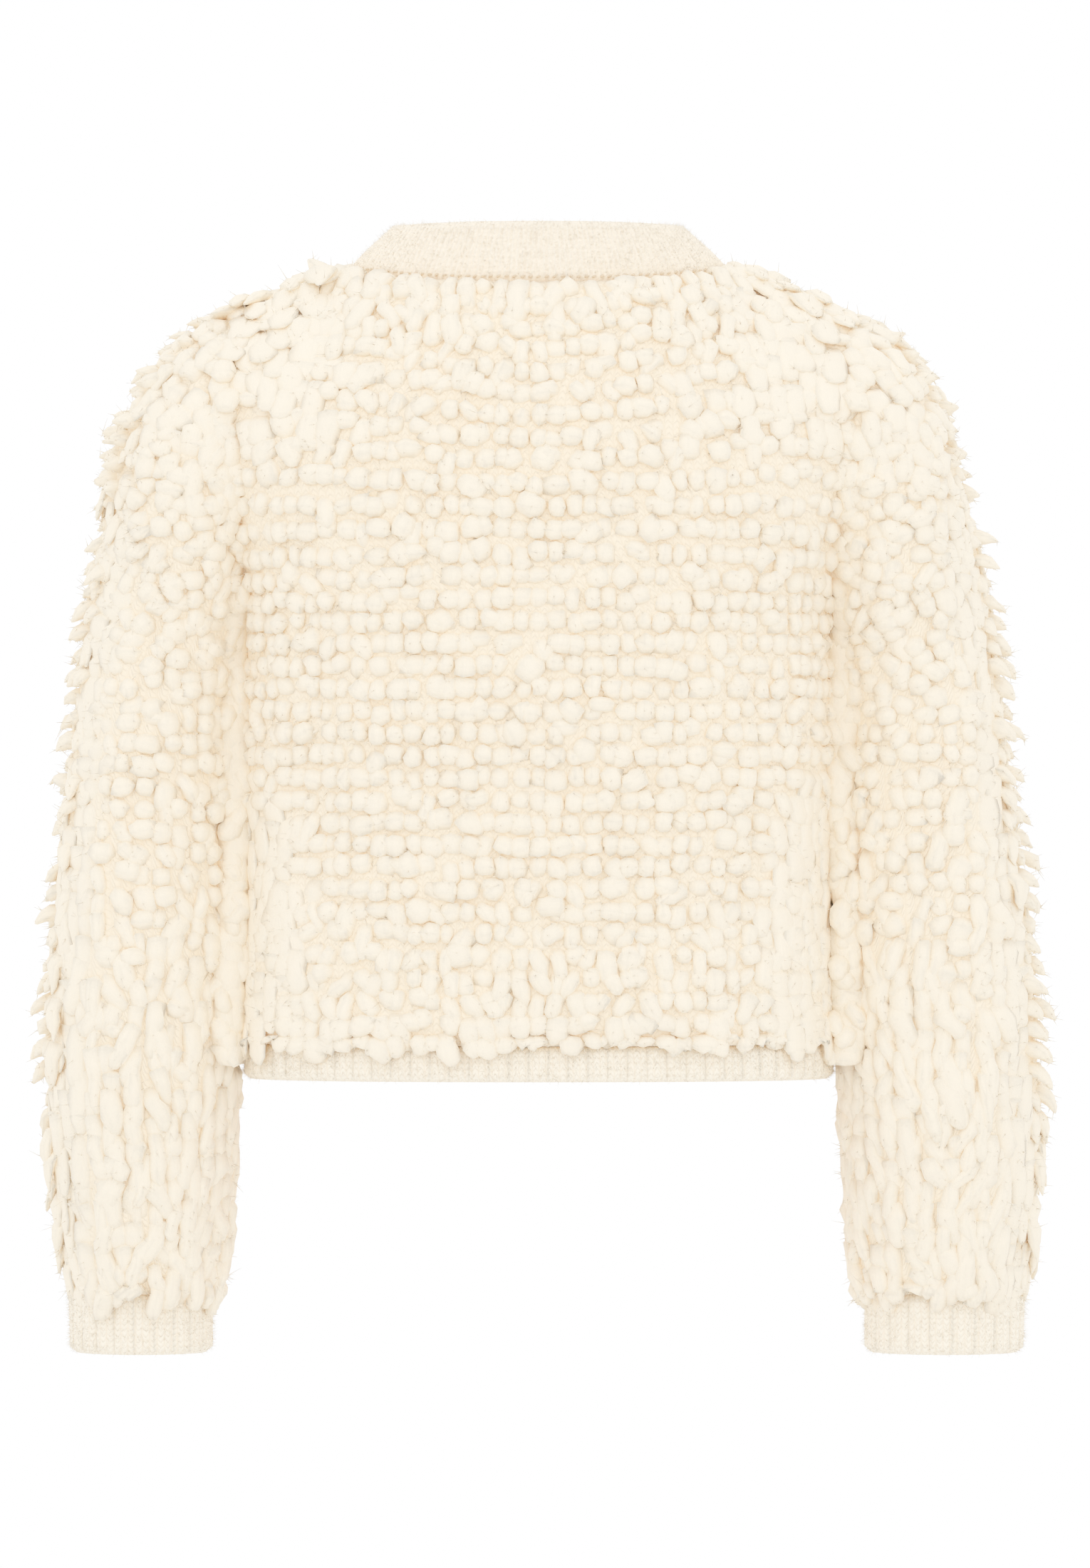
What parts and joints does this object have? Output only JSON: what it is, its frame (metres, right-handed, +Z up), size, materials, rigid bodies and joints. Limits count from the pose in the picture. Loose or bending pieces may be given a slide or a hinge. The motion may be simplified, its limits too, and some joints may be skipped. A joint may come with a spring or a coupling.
{
  "type": "long-sleeved cropped cardigan in loop-pile wool",
  "caption": "Cropped, boxy cardigan in shaggy cream loop-pile wool with long full sleeves, ribbed neckband, hem and cuffs, and buttoned front bands, in the shape it has when worn.",
  "frame": {"origin": "in the middle of the neck opening, level with the neck seam at the shoulders, where the wearer's shoulders carry the cardigan", "axes": "+Z up, -Y out of the wearer's front, +X towards the wearer's left"},
  "size_m": [0.6236, 0.2666, 0.6858],
  "materials": {
    "wool_pile": "matt shaggy loop-pile wool",
    "wool_rib": "matt brushed wool rib",
    "button": "satin ivory-coloured plastic"
  },
  "bodies": {
    "root": {"back": "wool_pile", "front_left": "wool_pile", "front_right": "wool_pile", "sleeve_left": "wool_pile", "sleeve_right": "wool_pile", "neckband": "wool_rib", "hem_back": "wool_rib", "hem_left": "wool_rib", "hem_right": "wool_rib", "cuff_left": "wool_rib", "cuff_right": "wool_rib", "button_band": "wool_rib", "buttonhole_band": "wool_rib", "button_1": "button", "button_2": "button", "button_3": "button", "button_4": "button", "button_5": "button", "button_6": "button"}
  },
  "joints": []
}
